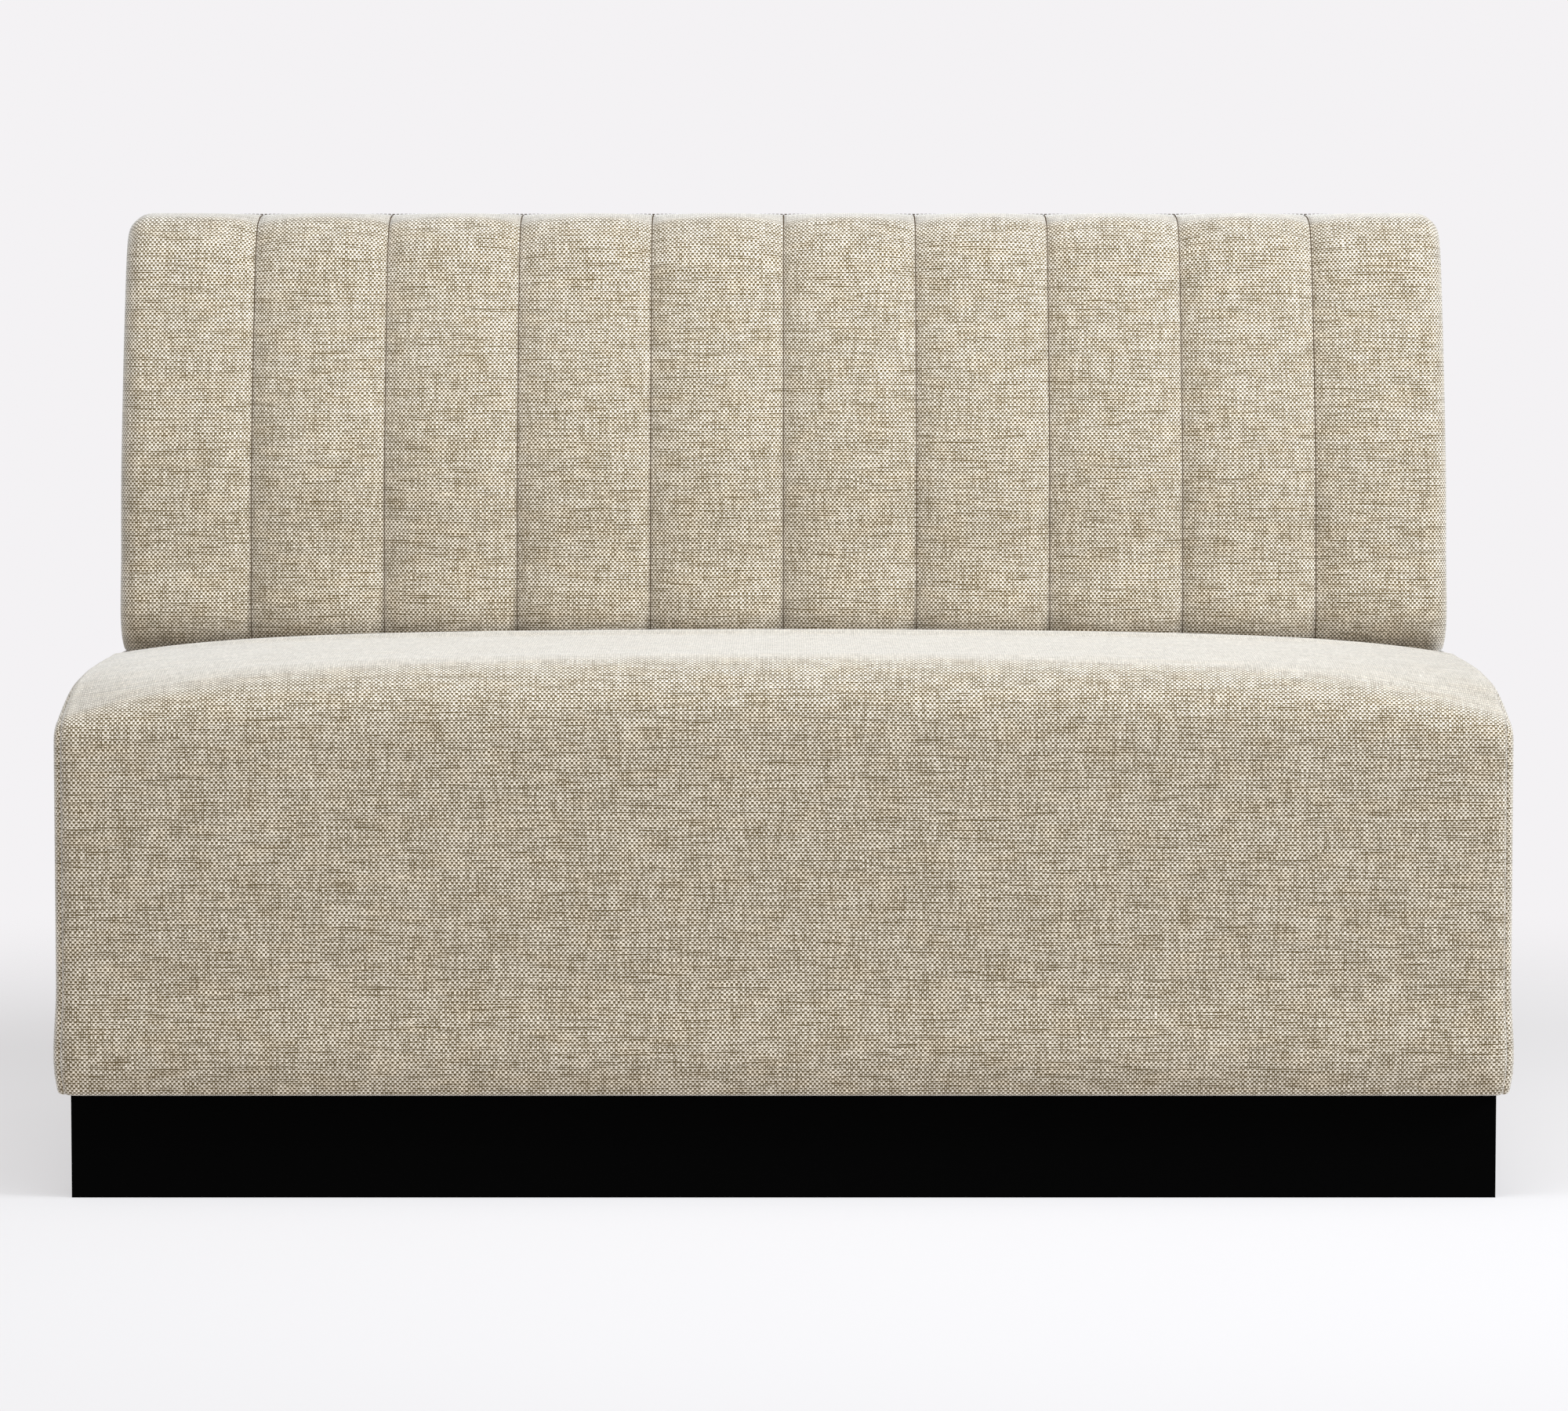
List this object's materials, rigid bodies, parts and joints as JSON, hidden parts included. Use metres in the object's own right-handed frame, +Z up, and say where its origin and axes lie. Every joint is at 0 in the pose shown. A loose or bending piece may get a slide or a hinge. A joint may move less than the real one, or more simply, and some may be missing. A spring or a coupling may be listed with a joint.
{
  "type": "banquette",
  "caption": "Armless upholstered banquette: a waterfall seat on a recessed black plinth and a reclined back of upright padded channels with a rolled top.",
  "frame": {"origin": "middle of the footprint, on the floor", "axes": "+X to the right seen from the front, +Y from the seat front to the rear face, +Z up"},
  "size_m": [1.325, 0.62, 0.915],
  "materials": {
    "black_paint": "satin black paint on boards",
    "plywood": "bare birch plywood",
    "hardwood": "bare sawn beech",
    "zinc_steel": "zinc plated",
    "spring_steel": "oiled spring wire",
    "foot_nylon": "black nylon",
    "dust_cloth": "black non-woven cloth",
    "felt": "needled felt",
    "foam": "upholstery foam",
    "wadding": "polyester wadding",
    "linen": "heathered linen weave"
  },
  "bodies": {
    "root": {"plinth_front_rail": "black_paint", "plinth_rear_rail": "black_paint", "plinth_left_rail": "black_paint", "plinth_right_rail": "black_paint", "plinth_left_brace": "plywood", "plinth_right_brace": "plywood", "plinth_corner_blocks": "plywood", "seat_front_board": "plywood", "seat_rear_board": "plywood", "seat_left_board": "plywood", "seat_right_board": "plywood", "seat_centre_board": "plywood", "seat_deck": "plywood", "back_post_1": "plywood", "back_post_2": "plywood", "back_post_3": "plywood", "back_post_4": "plywood", "back_panel": "plywood", "seat_front_rail": "hardwood", "seat_rear_rail": "hardwood", "seat_corner_blocks": "hardwood", "back_top_rail": "hardwood", "back_low_rail": "hardwood", "plinth_screws": "zinc_steel", "leveller_inserts": "zinc_steel", "back_bolts": "zinc_steel", "spring_clips": "zinc_steel", "seat_springs": "spring_steel", "dust_cover": "dust_cloth", "spring_felt": "felt", "seat_foam": "foam", "back_left_pad": "foam", "back_right_pad": "foam", "channel_pad_01": "foam", "channel_pad_02": "foam", "channel_pad_03": "foam", "channel_pad_04": "foam", "channel_pad_05": "foam", "channel_pad_06": "foam", "channel_pad_07": "foam", "channel_pad_08": "foam", "channel_pad_09": "foam", "channel_pad_10": "foam", "seat_front_pad": "wadding", "seat_left_pad": "wadding", "seat_right_pad": "wadding", "seat_cover": "linen", "seat_left_cover": "linen", "seat_right_cover": "linen", "seat_rear_cover": "linen", "channel_cover": "linen", "back_rear_cover": "linen"},
    "foot_1": {"leveller_pad_1": "foot_nylon"},
    "screw_1": {"leveller_stem_1": "zinc_steel"},
    "foot_2": {"leveller_pad_2": "foot_nylon"},
    "screw_2": {"leveller_stem_2": "zinc_steel"},
    "foot_3": {"leveller_pad_3": "foot_nylon"},
    "screw_3": {"leveller_stem_3": "zinc_steel"},
    "foot_4": {"leveller_pad_4": "foot_nylon"},
    "screw_4": {"leveller_stem_4": "zinc_steel"}
  },
  "joints": [
    {"name": "leveller_rise_1", "type": "slide", "parent": "root", "child": "foot_1", "axis": [0, 0, -1], "range_m": [0, 0.015]},
    {"name": "leveller_turn_1", "type": "hinge", "parent": "foot_1", "child": "screw_1", "pos_m": [-0.6005, -0.232, 0], "axis": [0, 0, -1], "range_deg": [0, 3600]},
    {"name": "leveller_rise_2", "type": "slide", "parent": "root", "child": "foot_2", "axis": [0, 0, -1], "range_m": [0, 0.015]},
    {"name": "leveller_turn_2", "type": "hinge", "parent": "foot_2", "child": "screw_2", "pos_m": [0.6005, -0.232, 0], "axis": [0, 0, -1], "range_deg": [0, 3600]},
    {"name": "leveller_rise_3", "type": "slide", "parent": "root", "child": "foot_3", "axis": [0, 0, -1], "range_m": [0, 0.015]},
    {"name": "leveller_turn_3", "type": "hinge", "parent": "foot_3", "child": "screw_3", "pos_m": [-0.6005, 0.242, 0], "axis": [0, 0, -1], "range_deg": [0, 3600]},
    {"name": "leveller_rise_4", "type": "slide", "parent": "root", "child": "foot_4", "axis": [0, 0, -1], "range_m": [0, 0.015]},
    {"name": "leveller_turn_4", "type": "hinge", "parent": "foot_4", "child": "screw_4", "pos_m": [0.6005, 0.242, 0], "axis": [0, 0, -1], "range_deg": [0, 3600]}
  ],
  "couplings": [
    {"joint": "leveller_rise_1", "follows": "leveller_turn_1", "m_per_rad": 0.0002387},
    {"joint": "leveller_rise_2", "follows": "leveller_turn_2", "m_per_rad": 0.0002387},
    {"joint": "leveller_rise_3", "follows": "leveller_turn_3", "m_per_rad": 0.0002387},
    {"joint": "leveller_rise_4", "follows": "leveller_turn_4", "m_per_rad": 0.0002387}
  ]
}
